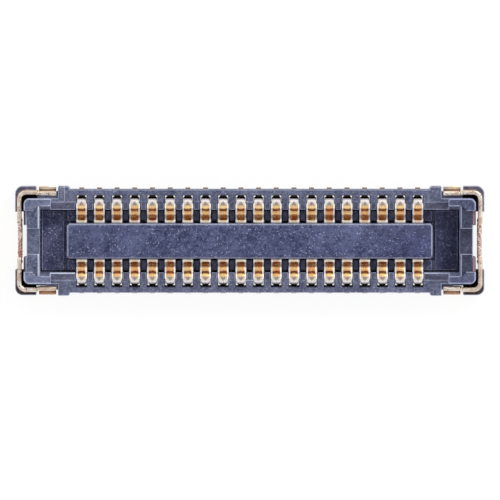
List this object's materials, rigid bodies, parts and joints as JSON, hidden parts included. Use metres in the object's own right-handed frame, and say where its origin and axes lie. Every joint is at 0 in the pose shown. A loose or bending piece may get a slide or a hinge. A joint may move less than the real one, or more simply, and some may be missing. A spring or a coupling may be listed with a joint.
{
  "type": "board-to-board display connector receptacle",
  "caption": "Low surface-mount board-to-board receptacle for a display flex: ring groove round an island, gold spring contacts, sheet-metal hold-downs at the ends.",
  "frame": {"origin": "under the middle of the connector, on the plane of the solder tails and feet", "axes": "+X along the rows of contacts, +Y across them, +Z out of the board towards the mating side"},
  "size_m": [0.0106, 0.0024, 0.0009],
  "materials": {
    "housing_polymer": "matt glass-filled polymer with fine light flecks and polished arrises",
    "contact_gold": "bright gold plating on formed copper alloy strip",
    "hold_down_plating": "satin pale gold flash on sheared strip, bare along the break"
  },
  "bodies": {
    "root": {"housing": "housing_polymer", "hold_down_left": "hold_down_plating", "hold_down_right": "hold_down_plating", "contact_a_01": "contact_gold", "contact_a_02": "contact_gold", "contact_a_03": "contact_gold", "contact_a_04": "contact_gold", "contact_a_05": "contact_gold", "contact_a_06": "contact_gold", "contact_a_07": "contact_gold", "contact_a_08": "contact_gold", "contact_a_09": "contact_gold", "contact_a_10": "contact_gold", "contact_a_11": "contact_gold", "contact_a_12": "contact_gold", "contact_a_13": "contact_gold", "contact_a_14": "contact_gold", "contact_a_15": "contact_gold", "contact_a_16": "contact_gold", "contact_a_17": "contact_gold", "contact_a_18": "contact_gold", "contact_a_19": "contact_gold", "contact_a_20": "contact_gold", "contact_b_01": "contact_gold", "contact_b_02": "contact_gold", "contact_b_03": "contact_gold", "contact_b_04": "contact_gold", "contact_b_05": "contact_gold", "contact_b_06": "contact_gold", "contact_b_07": "contact_gold", "contact_b_08": "contact_gold", "contact_b_09": "contact_gold", "contact_b_10": "contact_gold", "contact_b_11": "contact_gold", "contact_b_12": "contact_gold", "contact_b_13": "contact_gold", "contact_b_14": "contact_gold", "contact_b_15": "contact_gold", "contact_b_16": "contact_gold", "contact_b_17": "contact_gold", "contact_b_18": "contact_gold", "contact_b_19": "contact_gold", "contact_b_20": "contact_gold"}
  },
  "joints": []
}
